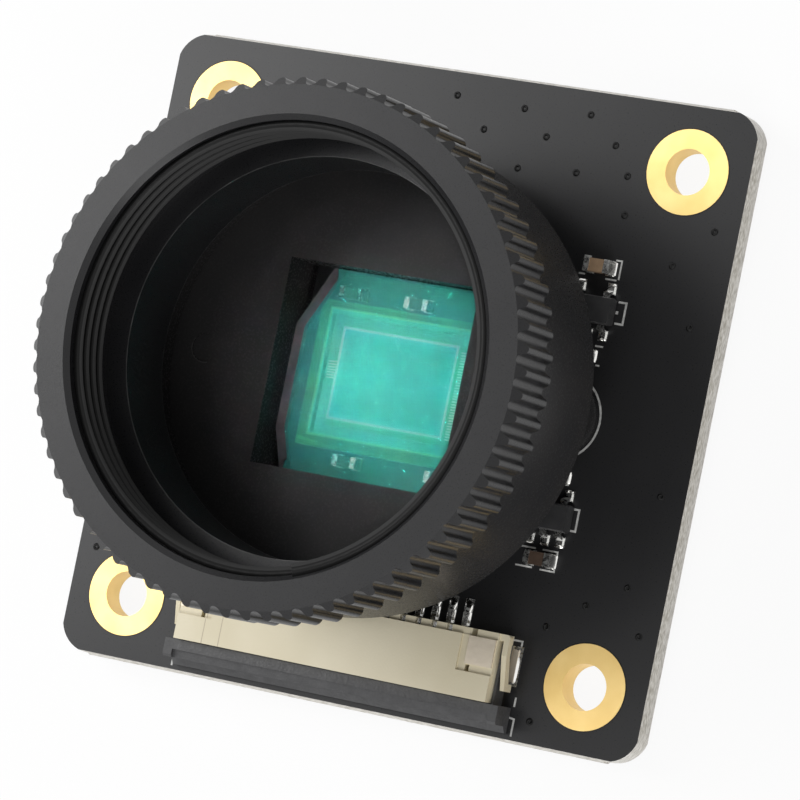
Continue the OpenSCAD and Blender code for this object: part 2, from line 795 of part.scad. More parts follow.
module fpc_contacts() {
    color("#d0d2d4") translate([0, 0, board_t])
        for (i = [0 : ways - 1])
            translate([i * way_pitch - span / 2, 0, 0]) contact();
}

module fpc_hold_downs() {
    z1 = housing_h - recess_depth;
    color("#b8b3a4") translate([0, 0, board_t])
        both_ends() {
            block([plate_x0, plate_y0, z1], [plate_x1, strip_y - 0.03, z1 + plate_t]);
            block([leg_x, leg_y0, pad_t], [leg_x + plate_t, leg_y1, z1 + plate_t / 2]);
            block([leg_x, foot_y0, pad_t], [foot_x1, foot_y1, pad_t + plate_t]);
        }
}

module fpc_slide_lock() {
    yb = slide_back;
    yf = slide_back - slide_d;
    yl = yf - slide_lip;
    ys = yb - slide_d * 0.55;
    t0 = tongue_z0;
    t1 = tongue_z1;
    tip = yb + tongue_l;
    color("#232325") translate([0, 0, board_t]) {
        // upper bar, stepped down along its front
        side_profile([[yb, t0], [yb, slide_h], [ys, slide_h], [ys, slide_h - slide_step],
            [yf, slide_h - 1.5 * slide_step], [yf, t0]], -slot_x, slot_x);
        // lower bar with its lip
        side_profile([[yb, slide_lift], [yb, mouth_z], [yf, mouth_z], [yl, lip_h],
            [yl, slide_lift]], -slot_x, slot_x);
        // tongue, thinner at its tip
        side_profile([[yb - 0.1, t0], [yb - 0.1, t1], [tip, t1], [tip, t0 + 0.25],
            [tip - 0.8, t0]], -slot_x + slide_clear, slot_x - slide_clear);
        both_ends() {
            // solid end beside the mouth, with the same step
            side_profile([[yb, slide_lift], [yb, slide_h], [ys, slide_h],
                [ys, slide_h - slide_step], [yf, slide_h - 1.5 * slide_step], [yf, mouth_z],
                [yl, lip_h], [yl, slide_lift]], slot_x - 0.01, ear_x);
            // ear at full height
            side_profile([[yb, slide_lift], [yb, slide_h], [yf + 0.15, slide_h],
                [yf, slide_h - 0.15], [yf, mouth_z], [yl, lip_h], [yl, slide_lift]],
                ear_x - 0.01, slide_x);
            // arm that runs in the gap beside the housing
            block([body_x + slide_clear, yb - 0.1, lip_h],
                [arm_in_x - slide_clear, strip_y - 0.12, arm_front_h + 0.2]);
        }
    }
}

circuit_board();
hole_plating();
solder_pads();
lens_holder();
holder_screws();
adapter_ring();
ir_filter();
sensor_package();
sensor_die();
sensor_cover_glass();
sensor_capacitors();
sensor_capacitor_ends();
fpc_housing();
fpc_contacts();
fpc_hold_downs();
fpc_slide_lock();
capacitor_upper();
capacitor_upper_ends();
capacitor_lower();
capacitor_lower_ends();
regulator_upper();
regulator_upper_leads();
regulator_lower();
regulator_lower_leads();
chip_resistors();
chip_resistor_ends();
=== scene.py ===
# Board camera module with a knurled lens adapter ring: looks, small trim and studio.
import bpy, bmesh, math, random
from mathutils import Euler, Matrix, Vector


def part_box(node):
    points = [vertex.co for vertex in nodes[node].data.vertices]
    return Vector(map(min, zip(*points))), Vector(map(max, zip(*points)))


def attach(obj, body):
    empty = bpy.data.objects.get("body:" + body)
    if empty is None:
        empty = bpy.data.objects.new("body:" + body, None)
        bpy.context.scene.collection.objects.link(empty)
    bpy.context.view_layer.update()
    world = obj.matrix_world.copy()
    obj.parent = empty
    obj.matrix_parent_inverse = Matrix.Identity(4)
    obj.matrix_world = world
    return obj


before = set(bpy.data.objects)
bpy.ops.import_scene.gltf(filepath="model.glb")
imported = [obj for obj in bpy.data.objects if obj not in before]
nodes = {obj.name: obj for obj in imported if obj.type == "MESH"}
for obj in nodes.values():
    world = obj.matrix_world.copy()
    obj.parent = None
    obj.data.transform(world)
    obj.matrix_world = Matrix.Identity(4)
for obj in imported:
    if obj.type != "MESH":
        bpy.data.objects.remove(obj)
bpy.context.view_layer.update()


# ---------------------------------------------------------------- circuit board
# Glass-fibre laminate with a satin black solder mask on both faces. The panel is
# V-scored along its sides and snapped, so bare fibre shows there, and its corners
# are routed round.

MM = 0.001


def shader(name, base, rough=0.5, metal=0.0, specular=0.5):
    """A material with one Principled BSDF whose plain values sit on its own sockets."""
    mat = bpy.data.materials.new(name)
    mat.use_nodes = True
    mat.diffuse_color = (*base, 1)
    bsdf = mat.node_tree.nodes["Principled BSDF"]
    bsdf.inputs["Base Color"].default_value = (*base, 1)
    bsdf.inputs["Roughness"].default_value = rough
    bsdf.inputs["Metallic"].default_value = metal
    bsdf.inputs["Specular IOR Level"].default_value = specular
    return mat


def add(mat, kind, **values):
    """A shader node with its properties and unlinked inputs set by name."""
    n = mat.node_tree.nodes.new(kind)
    for key, value in values.items():
        if key in n.inputs:
            n.inputs[key].default_value = value
        else:
            setattr(n, key, value)
    return n


def wire(mat, a, b):
    """Links an output to an input of a material or a world."""
    mat.node_tree.links.new(a, b)


def bsdf_of(mat):
    """The Principled BSDF of a material."""
    return mat.node_tree.nodes["Principled BSDF"]


def ramp(mat, source, stops):
    """Colours along a value: stops are (position, colour)."""
    r = add(mat, "ShaderNodeValToRGB")
    r.color_ramp.elements.remove(r.color_ramp.elements[1])
    for i, (at, colour) in enumerate(stops):
        e = r.color_ramp.elements[0] if i == 0 else r.color_ramp.elements.new(at)
        e.position = at
        e.color = (*colour, 1)
    wire(mat, source, r.inputs["Fac"])
    return r.outputs["Color"]


def mixed(mat, factor, a, b):
    """Colour a where the factor is 0 and b where it is 1."""
    m = add(mat, "ShaderNodeMix", data_type="RGBA")
    wire(mat, factor, m.inputs["Factor"])
    for value, socket in ((a, m.inputs[6]), (b, m.inputs[7])):
        if isinstance(value, tuple):
            socket.default_value = (*value, 1)
        else:
            wire(mat, value, socket)
    return m.outputs[2]


def stretched(mat, value, low, high, start=0.0, end=1.0):
    """A value that goes from start to end while another goes from low to high."""
    n = add(mat, "ShaderNodeMapRange", **{"From Min": low, "From Max": high, "To Min": start, "To Max": end})
    wire(mat, value, n.inputs["Value"])
    return n.outputs["Result"]


def level_faces(mat):
    """A mask of 1 on faces that lie level and 0 on upright ones."""
    at = add(mat, "ShaderNodeTexCoord")
    xyz = add(mat, "ShaderNodeSeparateXYZ")
    tilt = add(mat, "ShaderNodeMath", operation="ABSOLUTE")
    level = add(mat, "ShaderNodeMath", operation="GREATER_THAN")
    level.inputs[1].default_value = 0.7
    wire(mat, at.outputs["Normal"], xyz.inputs[0])
    wire(mat, xyz.outputs["Z"], tilt.inputs[0])
    wire(mat, tilt.outputs[0], level.inputs[0])
    return level.outputs[0]


def new_group(name, inputs, outputs):
    """An empty shader node group with named float sockets, and its two end nodes."""
    g = bpy.data.node_groups.new(name, "ShaderNodeTree")
    for n, value in inputs:
        socket = g.interface.new_socket(n, in_out="INPUT", socket_type="NodeSocketFloat")
        socket.default_value = value
    for n in outputs:
        g.interface.new_socket(n, in_out="OUTPUT", socket_type="NodeSocketFloat")
    return g, g.nodes.new("NodeGroupInput"), g.nodes.new("NodeGroupOutput")


def build_grain():
    """Fine moulded or etched grain over the object, with a slow drift in tone."""
    g, gin, gout = new_group("surface_grain", [("Size", 0.1), ("Drift Size", 6.0)], ["Grain", "Drift"])
    at = g.nodes.new("ShaderNodeTexCoord")
    for size, out in (("Size", "Grain"), ("Drift Size", "Drift")):
        inverse = g.nodes.new("ShaderNodeMath")
        inverse.operation = "DIVIDE"
        inverse.inputs[0].default_value = 1 / MM
        g.links.new(gin.outputs[size], inverse.inputs[1])
        noise = g.nodes.new("ShaderNodeTexNoise")
        noise.inputs["Detail"].default_value = 2.0
        g.links.new(at.outputs["Object"], noise.inputs["Vector"])
        g.links.new(inverse.outputs[0], noise.inputs["Scale"])
        g.links.new(noise.outputs["Fac"], gout.inputs[out])
    return g


GRAIN = build_grain()


def grained(mat, size, bump, rough=None, tones=None, drift=6.0):
    """Gives a material the shared grain: as bump, as roughness from-to, and as two tones.

    Sizes are in millimetres. It returns the drifting tone, or the drift where there is none.
    """
    n = add(mat, "ShaderNodeGroup", node_tree=GRAIN)
    n.inputs["Size"].default_value = size
    n.inputs["Drift Size"].default_value = drift
    b = bsdf_of(mat)
    if bump:
        lift = add(mat, "ShaderNodeBump", Strength=bump, Distance=size * MM * 0.3)
        wire(mat, n.outputs["Grain"], lift.inputs["Height"])
        wire(mat, lift.outputs["Normal"], b.inputs["Normal"])
    if rough:
        wire(mat, stretched(mat, n.outputs["Grain"], 0.3, 0.7, *rough), b.inputs["Roughness"])
    if tones:
        colour = ramp(mat, n.outputs["Drift"], [(0.3, tones[0]), (0.7, tones[1])])
        wire(mat, colour, b.inputs["Base Color"])
        return colour
    return n.outputs["Drift"]


def dress(node, mat):
    """Puts one material on a CAD node."""
    o = nodes[node]
    o.data.materials.clear()
    o.data.materials.append(mat)
    return o


mask = shader("satin_black_mask", (0.021, 0.021, 0.022), 0.3, specular=0.3)
mask_tone = grained(mask, 0.09, 0.1, rough=(0.27, 0.33),
    tones=((0.019, 0.019, 0.02), (0.024, 0.024, 0.025)), drift=9.0)
at = add(mask, "ShaderNodeTexCoord")
layers = add(mask, "ShaderNodeMapping")
layers.inputs["Scale"].default_value = (1, 1, 4)
wire(mask, at.outputs["Object"], layers.inputs["Vector"])
weave = add(mask, "ShaderNodeTexNoise", Scale=2600.0, Detail=3.0)
wire(mask, layers.outputs["Vector"], weave.inputs["Vector"])
fibre = ramp(mask, weave.outputs["Fac"], [(0.34, (0.46, 0.43, 0.37)), (0.66, (0.84, 0.81, 0.75))])
wire(mask, mixed(mask, level_faces(mask), fibre, mask_tone), bsdf_of(mask).inputs["Base Color"])
dress("circuit_board", mask)
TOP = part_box("circuit_board")[1][2] / MM        # height of the board's upper face


# ---------------------------------------------------------------- board print and vias
# White printed outlines round the parts, a hundredth of a millimetre thick, and the
# plated through-holes, which the mask covers over on both faces. Two thin arcs in the
# same white are a painted highlight along the foot of each screw boss.

def piece(name, verts, faces, mat, body=None, smooth=False):
    """A new mesh object from points in millimetres, with its faces turned outward.

    Without a body it is only the seed of a geometry node tree, and grow() gives it one.
    """
    mesh = bpy.data.meshes.new(name)
    mesh.from_pydata([tuple(c * MM for c in v) for v in verts], [], faces)
    bm = bmesh.new()
    bm.from_mesh(mesh)
    bmesh.ops.recalc_face_normals(bm, faces=bm.faces)
    for f in bm.faces:
        f.smooth = smooth
    bm.to_mesh(mesh)
    bm.free()
    mesh.materials.append(mat)
    o = bpy.data.objects.new(name, mesh)
    bpy.context.scene.collection.objects.link(o)
    if body:
        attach(o, body)
    return o


def stroke(verts, faces, line, width, low, high):
    """Adds a raised line of even width along the points of line, with mitred bends."""
    start = len(verts)
    points = [Vector(p) for p in line]
    for i, p in enumerate(points):
        before = (p - points[i - 1]).normalized() if i else None
        after = (points[i + 1] - p).normalized() if i + 1 < len(points) else None
        along = ((before or after) + (after or before)).normalized()
        across = Vector((-along.y, along.x))
        reach = width / 2 / max(0.4, along.dot(after or before))
        for s in (1, -1):
            q = p + across * reach * s
            verts.append((q.x, q.y, low))
            verts.append((q.x, q.y, high))
    for i in range(len(points) - 1):
        a = start + 4 * i
        b = a + 4
        faces.extend([(a + 1, a + 3, b + 3, b + 1), (a, b, b + 2, a + 2),
            (a, a + 1, b + 1, b), (a + 2, b + 2, b + 3, a + 3)])
    last = start + 4 * (len(points) - 1)
    faces.append((start, start + 2, start + 3, start + 1))
    faces.append((last, last + 1, last + 3, last + 2))


def arc(x, y, r, start, end, steps=40):
    """Points along an arc round x, y, from and to an angle in degrees."""
    turns = [math.radians(start + (end - start) * i / steps) for i in range(steps + 1)]
    return [(x + r * math.cos(t), y + r * math.sin(t)) for t in turns]


ink_and_glint = shader("white_print_and_boss_highlight", (0.55, 0.55, 0.54), 0.6)
grained(ink_and_glint, 0.08, 0.3, rough=(0.5, 0.7), tones=((0.42, 0.42, 0.41), (0.68, 0.68, 0.66)), drift=0.25)
BOSS_X, BOSS_RING_R = 10.16, 2.56               # outlines round the holder's screw bosses
LINE_LOW, LINE_HIGH = TOP - 0.002, TOP + 0.012
print_and_highlight_lines = [                                      # width of each line, and its points
    (0.12, arc(BOSS_X, 0, BOSS_RING_R, -138, 138)),
    (0.12, arc(-BOSS_X, 0, BOSS_RING_R, 42, 318)),
    # Not print: a painted highlight along the foot of each screw boss, in the print's white.
    (0.04, arc(10.0, -0.05, 2.42, -138, 138)),
    (0.04, arc(-10.0, -0.05, 2.42, 42, 318)),
    (0.12, [(12.4, 7.0), (12.9, 7.0), (12.9, 5.75), (12.4, 5.75)]),
    (0.18, [(12.34, 6.38), (12.5, 6.38)]),
    (0.12, [(12.0, -5.15), (12.55, -5.15), (12.55, -6.4), (12.0, -6.4)]),
    (0.1, [(9.75, 9.35), (10.2, 9.35)]),
    (0.1, [(11.75, 9.35), (12.12, 9.35), (12.12, 8.25)]),
    (0.1, [(12.0, 8.2), (11.3, 8.2)]),
    (0.1, [(9.6, 8.3), (10.0, 8.3)]),
    (0.1, [(9.3, -7.75), (10.35, -7.75)]),
    (0.1, [(10.85, -8.9), (11.75, -8.9), (11.75, -7.75), (10.8, -7.75)]),
    (0.1, [(10.35, -8.87), (9.3, -8.87)]),
    (0.1, [(11.5, 4.3), (12.0, 4.3)]),
    (0.1, [(11.75, 3.2), (12.0, 3.2)]),
    (0.1, [(11.4, -3.85), (11.6, -3.85)]),
    (0.11, [(10.0, -13.15), (10.7, -13.15), (10.7, -13.45)]),
    (0.11, [(-10.0, -13.15), (-10.7, -13.15), (-10.7, -13.45)]),
    (0.11, [(10.98, -16.35), (10.98, -16.9)]),
    (0.11, [(10.8, -17.55), (11.12, -17.6), (11.12, -18.6)]),
    (0.11, [(-10.98, -16.35), (-10.98, -16.9)]),
    (0.11, [(-10.8, -17.55), (-11.12, -17.6), (-11.12, -18.6)]),
    ]
verts, faces = [], []
for width, line in print_and_highlight_lines:
    stroke(verts, faces, line, width, LINE_LOW, LINE_HIGH)
piece("board_print_and_boss_highlights", verts, faces, ink_and_glint, "board")


def new_tree(name, inputs):
    """An empty geometry node tree with named sockets, and its two end nodes."""
    t = bpy.data.node_groups.new(name, "GeometryNodeTree")
    t.interface.new_socket("Geometry", in_out="INPUT", socket_type="NodeSocketGeometry")
    t.interface.new_socket("Geometry", in_out="OUTPUT", socket_type="NodeSocketGeometry")
    for n, kind in inputs:
        t.interface.new_socket(n, in_out="INPUT", socket_type=kind)
    return t, t.nodes.new("NodeGroupInput"), t.nodes.new("NodeGroupOutput")


def grow(o, tree, body, slot, **values):
    """Runs a geometry node tree on a seed and keeps the plain mesh that it makes."""
    m = o.modifiers.new("grow", "NODES")
    m.node_group = tree
    for item in tree.interface.items_tree:
        if item.in_out == "INPUT" and item.name in values:
            m[item.identifier] = values[item.name]
    done = o.evaluated_get(bpy.context.evaluated_depsgraph_get())
    mesh = bpy.data.meshes.new_from_object(done)
    o.modifiers.remove(m)
    o.data = mesh
    mesh.name = o.name
    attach(o, body)


def finish_tree(t, last, mat, gout):
    """Real copies with one material at the end of a geometry node tree."""
    real = t.nodes.new("GeometryNodeRealizeInstances")
    paint = t.nodes.new("GeometryNodeSetMaterial")
    paint.inputs["Material"].default_value = mat
    t.links.new(last, real.inputs[0])
    t.links.new(real.outputs[0], paint.inputs["Geometry"])
    t.links.new(paint.outputs[0], gout.inputs[0])


VIA_R, VIA_RISE, VIA_PROUD = 0.14, 0.016, 0.004
LIP_FOOT, LIP_CREST = 0.16, 0.04
cover = shader("mask_over_via", (0.006, 0.006, 0.006), 0.4, specular=0.3)
grained(cover, 0.05, 0.1, rough=(0.34, 0.46))
t, gin, gout = new_tree("covered_vias", [("Radius", "NodeSocketFloat"), ("Rise", "NodeSocketFloat")])
points = t.nodes.new("GeometryNodeMeshToPoints")
t.links.new(gin.outputs["Geometry"], points.inputs[0])
lip = t.nodes.new("GeometryNodeCurvePrimitiveCircle")
lip.inputs["Resolution"].default_value = 20
t.links.new(gin.outputs["Radius"], lip.inputs["Radius"])
mound = t.nodes.new("GeometryNodeCurvePrimitiveQuadrilateral")
mound.mode = "TRAPEZOID"
mound.inputs["Offset"].default_value = 0.0
for socket, size in (("Bottom Width", LIP_FOOT), ("Top Width", LIP_CREST)):
    mound.inputs[socket].default_value = size * MM
t.links.new(gin.outputs["Rise"], mound.inputs["Height"])
rim = t.nodes.new("GeometryNodeCurveToMesh")
t.links.new(lip.outputs[0], rim.inputs[0])
t.links.new(mound.outputs[0], rim.inputs[1])
cap = t.nodes.new("GeometryNodeFillCurve")
t.links.new(lip.outputs[0], cap.inputs[0])
both = t.nodes.new("GeometryNodeJoinGeometry")
t.links.new(cap.outputs[0], both.inputs[0])
t.links.new(rim.outputs[0], both.inputs[0])
spread = t.nodes.new("GeometryNodeInstanceOnPoints")
t.links.new(points.outputs[0], spread.inputs["Points"])
t.links.new(both.outputs[0], spread.inputs["Instance"])
finish_tree(t, spread.outputs[0], cover, gout)
via_spots = [(-0.2, 17.45), (4.2, 17.25), (8.4, 17.45), (1.9, 15.7), (5.9, 15.8), (10.3, 15.9),
    (4.5, 13.75), (8.2, 14.0), (11.4, 14.25), (11.7, 12.0), (17.35, 11.85), (15.2, 9.55),
    (17.0, 6.2), (17.3, -3.55), (16.4, -9.0), (14.1, -10.45), (17.65, -11.6), (11.95, -12.05),
    (12.1, -17.55), (-17.65, -12.6), (-17.2, 6.4), (-15.6, -2.9), (-11.9, 12.4), (-13.2, 8.6)]
vias = piece("vias", [(x, y, z) for x, y in via_spots for z in (TOP + VIA_PROUD, -VIA_PROUD)], [], cover)
grow(vias, t, "board", "board_mask", Radius=VIA_R * MM, Rise=VIA_RISE * MM)


# ---------------------------------------------------------------- hole plating
# Gold over nickel on the four mounting pads and through their barrels. The mask stops
# just short of each pad, and its opening shows as a thin dark ring.

gold = shader("gold_plating", (0.9, 0.66, 0.27), 0.5, metal=1.0)
grained(gold, 0.05, 0.12, rough=(0.45, 0.55), tones=((0.84, 0.6, 0.23), (0.94, 0.7, 0.3)), drift=2.0)
dress("hole_plating", gold)
HOLE_AT, OPENING_GAP, OPENING_WIDTH = 15.0, 0.04, 0.07
opening_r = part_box("hole_plating")[1][0] / MM - HOLE_AT + OPENING_GAP
verts, faces = [], []
for x in (-HOLE_AT, HOLE_AT):
    for y in (-HOLE_AT, HOLE_AT):
        stroke(verts, faces, arc(x, y, opening_r, 0, 360, 60), OPENING_WIDTH, TOP - 0.002, TOP + 0.005)
piece("pad_openings", verts, faces, cover, "board")


# ---------------------------------------------------------------- solder
# Tinned copper pads, and the reflowed solder that wets the ends of the parts: a hollow
# ramp from the metal of the part down to the edge of its pad.

tin = shader("tinned_copper", (0.8, 0.8, 0.78), 0.35, metal=1.0)
grained(tin, 0.2, 0.1, rough=(0.2, 0.34))
dress("solder_pads", tin)
solder = shader("solder", (0.86, 0.85, 0.82), 0.2, metal=1.0)
grained(solder, 0.4, 0.05, rough=(0.14, 0.26))
PAD_TOP = TOP + 0.03


def ramp_of_solder(verts, faces, x, y, turn, reach, width, height, base=PAD_TOP, seed=1):
    """Adds one joint: it starts at x, y, runs reach outward at angle turn, and thins out."""
    chance = random.Random(seed)
    start = len(verts)
    c, s = math.cos(math.radians(turn)), math.sin(math.radians(turn))
    rows, cols = 6, 8
    for i in range(rows + 1):
        u = i / rows
        for j in range(cols + 1):
            v = 2 * j / cols - 1
            a = reach * u
            b = width / 2 * v * (1 - 0.18 * u * u)
            rise = height * (1 - u) ** 1.7 * (1 - abs(v) ** 3) ** 0.5
            rise *= 1 + 0.16 * chance.uniform(-1, 1)
            verts.append((x + a * c - b * s, y + a * s + b * c, base + rise))
    for i in range(rows):
        for j in range(cols):
            k = start + i * (cols + 1) + j
            faces.append((k, k + 1, k + cols + 2, k + cols + 1))


def end_joints(name, boxes, height, reach):
    """One joint outward of each box, given as x0, x1, y0, y1 and the way it faces."""
    verts, faces = [], []
    for k, (x0, x1, y0, y1, turn) in enumerate(boxes):
        if turn in (0, 180):
            ramp_of_solder(verts, faces, x1 if turn == 0 else x0, (y0 + y1) / 2, turn, reach,
                (y1 - y0) * 1.06, height, seed=k)
        else:
            ramp_of_solder(verts, faces, (x0 + x1) / 2, y1 if turn == 90 else y0, turn, reach,
                (x1 - x0) * 1.25, height, seed=k)
    return piece(name, verts, faces, solder, "board", smooth=True)


def solids_of(node):
    """The box of each separate solid in a CAD node, in millimetres: x0, x1, y0, y1, z0, z1."""
    mesh = nodes[node].data
    parent = list(range(len(mesh.vertices)))

    def top(i):
        while parent[i] != i:
            parent[i] = parent[parent[i]]
            i = parent[i]
        return i

    seen = {}
    for v in mesh.vertices:
        key = tuple(round(c * 1e7) for c in v.co)
        parent[v.index] = seen.setdefault(key, v.index)
    for e in mesh.edges:
        parent[top(e.vertices[0])] = top(e.vertices[1])
    boxes = {}
    for v in mesh.vertices:
        b = boxes.setdefault(top(v.index), [1e9, -1e9, 1e9, -1e9, 1e9, -1e9])
        for i in range(3):
            c = v.co[i] / MM
            b[2 * i] = min(b[2 * i], c)
            b[2 * i + 1] = max(b[2 * i + 1], c)
    return sorted(boxes.values())


def chip_joints(name, node, height, reach):
    """A joint at the outer face of each metal end of chips that lie along X."""
    ends = solids_of(node)
    middles = {}
    for b in ends:
        middles.setdefault(round((b[2] + b[3]) / 2, 1), []).append(b)
    boxes = []
    for row in middles.values():
        row.sort()
        for left, right in zip(row[0::2], row[1::2]):
            boxes.append((*left[:4], 180))
            boxes.append((*right[:4], 0))
    return end_joints(name, boxes, height, reach)


# ---------------------------------------------------------------- sensor
# A green laminate package with the bare die in its cavity under a cover glass. Fine
# bond wires run from the die's edge pads to the cavity's floor, and solder joints show
# along the package's two short sides.

def build_box_distance():
    """Distance in millimetres outside (+) or inside (-) an upright box's outline."""
    g, gin, gout = new_group("box_distance",
        [("Middle X", 0.0), ("Middle Y", 0.0), ("Half X", 1.0), ("Half Y", 1.0)], ["Distance"])

    def math_node(kind, a, b):
        n = g.nodes.new("ShaderNodeMath")
        n.operation = kind
        for k, v in enumerate((a, b)):
            if isinstance(v, float):
                n.inputs[k].default_value = v
            elif v is not None:
                g.links.new(v, n.inputs[k])
        return n.outputs[0]

    at = g.nodes.new("ShaderNodeTexCoord")
    xyz = g.nodes.new("ShaderNodeSeparateXYZ")
    g.links.new(at.outputs["Object"], xyz.inputs[0])
    gaps = []
    for axis in "XY":
        mm = math_node("MULTIPLY", xyz.outputs[axis], 1 / MM)
        off = math_node("SUBTRACT", mm, gin.outputs["Middle " + axis])
        gaps.append(math_node("SUBTRACT", math_node("ABSOLUTE", off, None), gin.outputs["Half " + axis]))
    g.links.new(math_node("MAXIMUM", gaps[0], gaps[1]), gout.inputs["Distance"])
    return g


BOX_DISTANCE = build_box_distance()


def outline_value(mat, middle, half, low, high):
    """A value from 0 at distance low from a box's outline to 1 at distance high."""
    n = add(mat, "ShaderNodeGroup", node_tree=BOX_DISTANCE)
    for key, value in zip(("Middle X", "Middle Y", "Half X", "Half Y"), (*middle, *half)):
        n.inputs[key].default_value = value
    return stretched(mat, n.outputs["Distance"], low, high)


CAVITY_MIDDLE, CAVITY_HALF = (-0.3, 0.1), (4.6, 3.75)
package = shader("package_laminate", (0.1, 0.3, 0.15), 0.45, specular=0.15)
package_tone = grained(package, 0.2, 0.1, rough=(0.4, 0.5),
    tones=((0.08, 0.24, 0.11), (0.16, 0.36, 0.14)), drift=1.5)
cavity = outline_value(package, CAVITY_MIDDLE, CAVITY_HALF, -0.5, 0.5)
shelf = ramp(package, cavity, [(0.0, (0.16, 0.72, 0.5)), (0.4, (0.2, 0.78, 0.5)),
    (0.5, (0.4, 0.8, 0.36)), (0.6, (0.14, 0.4, 0.2))])
beyond = add(package, "ShaderNodeMath", operation="GREATER_THAN")
beyond.inputs[1].default_value = 0.6
wire(package, cavity, beyond.inputs[0])
package_colour = mixed(package, beyond.outputs[0], shelf, package_tone)
wire(package, package_colour, bsdf_of(package).inputs["Base Color"])
dress("sensor_package", package)

ACTIVE_LOW, ACTIVE_HIGH = (-3.95, -2.57), (3.5, 2.86)
active_middle = tuple((a + b) / 2 for a, b in zip(ACTIVE_LOW, ACTIVE_HIGH))
active_half = tuple((b - a) / 2 for a, b in zip(ACTIVE_LOW, ACTIVE_HIGH))
die = shader("sensor_die", (0.07, 0.74, 0.69), 0.3, specular=0.15)
across = outline_value(die, active_middle, active_half, -0.8, 0.2)
bands = ramp(die, across, [(0.0, (0.06, 0.7, 0.66)), (0.35, (0.07, 0.72, 0.67)),
    (0.62, (0.14, 0.86, 0.84)), (0.69, (0.25, 0.95, 0.95)), (0.715, (0.85, 1.0, 1.0)),
    (0.835, (0.85, 1.0, 1.0)), (0.85, (0.2, 0.88, 0.6)), (1.0, (0.12, 0.66, 0.4))])
wire(die, bands, bsdf_of(die).inputs["Base Color"])
dress("sensor_die", die)

lid = shader("cover_glass", (0.5, 0.9, 0.8), 0.1, specular=0.2)
bsdf_of(lid).inputs["Alpha"].default_value = 0.05
dress("sensor_cover_glass", lid)

die_low, die_high = (Vector(v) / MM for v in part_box("sensor_die"))
pack_low, pack_high = (Vector(v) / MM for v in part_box("sensor_package"))
WIRE_R, WIRE_PITCH, WIRE_RISE, WIRE_RUN, WIRE_LIFT = 0.044, 0.16, 0.14, 0.62, 0.02
bond = shader("bond_wire", (1.0, 1.0, 0.85), 0.3)
grained(bond, 0.05, 0.1, rough=(0.25, 0.35))
t, gin, gout = new_tree("bond_wires", [("Count", "NodeSocketInt"), ("Pitch", "NodeSocketVector"),
    ("Start", "NodeSocketVector"), ("Peak", "NodeSocketVector"), ("End", "NodeSocketVector"),
    ("Wire", "NodeSocketFloat")])
bend = t.nodes.new("GeometryNodeCurveQuadraticBezier")
bend.inputs["Resolution"].default_value = 6
for a, b in (("Start", "Start"), ("Peak", "Middle"), ("End", "End")):
    t.links.new(gin.outputs[a], bend.inputs[b])
round_wire = t.nodes.new("GeometryNodeCurvePrimitiveCircle")
round_wire.inputs["Resolution"].default_value = 6
t.links.new(gin.outputs["Wire"], round_wire.inputs["Radius"])
tube = t.nodes.new("GeometryNodeCurveToMesh")
tube.inputs["Fill Caps"].default_value = True
t.links.new(bend.outputs[0], tube.inputs[0])
t.links.new(round_wire.outputs[0], tube.inputs[1])
row = t.nodes.new("GeometryNodeMeshLine")
t.links.new(gin.outputs["Count"], row.inputs["Count"])
t.links.new(gin.outputs["Pitch"], row.inputs["Offset"])
copies = t.nodes.new("GeometryNodeInstanceOnPoints")
t.links.new(row.outputs[0], copies.inputs["Points"])
t.links.new(tube.outputs[0], copies.inputs["Instance"])
finish_tree(t, copies.outputs[0], bond, gout)
for name, side_x, count, low_y in (("bond_wires_right", 3.78, 33, -2.6), ("bond_wires_left", -4.0, 7, -0.2)):
    outward = math.copysign(1, side_x)
    z = die_high.z + WIRE_LIFT
    wires = piece(name, [(0, 0, 0)], [], bond)
    grow(wires, t, "board", "gold_plating", Count=count, Pitch=(0, WIRE_PITCH * MM, 0), Wire=WIRE_R * MM,
        Start=(side_x * MM, low_y * MM, z * MM),
        Peak=((side_x + WIRE_PITCH * outward) * MM, low_y * MM, (z + WIRE_RISE) * MM),
        End=((side_x + WIRE_RUN * outward) * MM, low_y * MM, (die_low.z + WIRE_LIFT) * MM))

cap_brown = shader("capacitor_brown", (0.05, 0.03, 0.02), 0.45)
grained(cap_brown, 0.1, 0.2, rough=(0.4, 0.55), tones=((0.055, 0.035, 0.024), (0.08, 0.05, 0.033)), drift=0.6)
dress("sensor_capacitors", cap_brown)
ends = shader("tinned_ends", (0.88, 0.88, 0.86), 0.28, metal=1.0)
grained(ends, 0.3, 0.05, rough=(0.2, 0.34))
dress("sensor_capacitor_ends", ends)
chip_joints("sensor_chip_joints", "sensor_capacitor_ends", 0.42, 0.16)

ROW, gin, gout = new_tree("row_of_joints", [("Count", "NodeSocketInt"), ("Step", "NodeSocketVector")])
row = ROW.nodes.new("GeometryNodeMeshLine")
ROW.links.new(gin.outputs["Count"], row.inputs["Count"])
ROW.links.new(gin.outputs["Step"], row.inputs["Offset"])
copies = ROW.nodes.new("GeometryNodeInstanceOnPoints")
ROW.links.new(row.outputs[0], copies.inputs["Points"])
ROW.links.new(gin.outputs["Geometry"], copies.inputs["Instance"])
finish_tree(ROW, copies.outputs[0], solder, gout)
SIDE_START, SIDE_COUNT, SIDE_PITCH = -3.1, 7, 1.24
for name, x, turn in (("package_joints_left", pack_low.x, 180), ("package_joints_right", pack_high.x, 0)):
    verts, faces = [], []
    ramp_of_solder(verts, faces, x, SIDE_START, turn, 0.32, 0.34, 0.35, base=TOP + 0.005)
    o = piece(name, verts, faces, solder, smooth=True)
    grow(o, ROW, "board", "tinned_copper", Count=SIDE_COUNT, Step=(0, SIDE_PITCH * MM, 0))
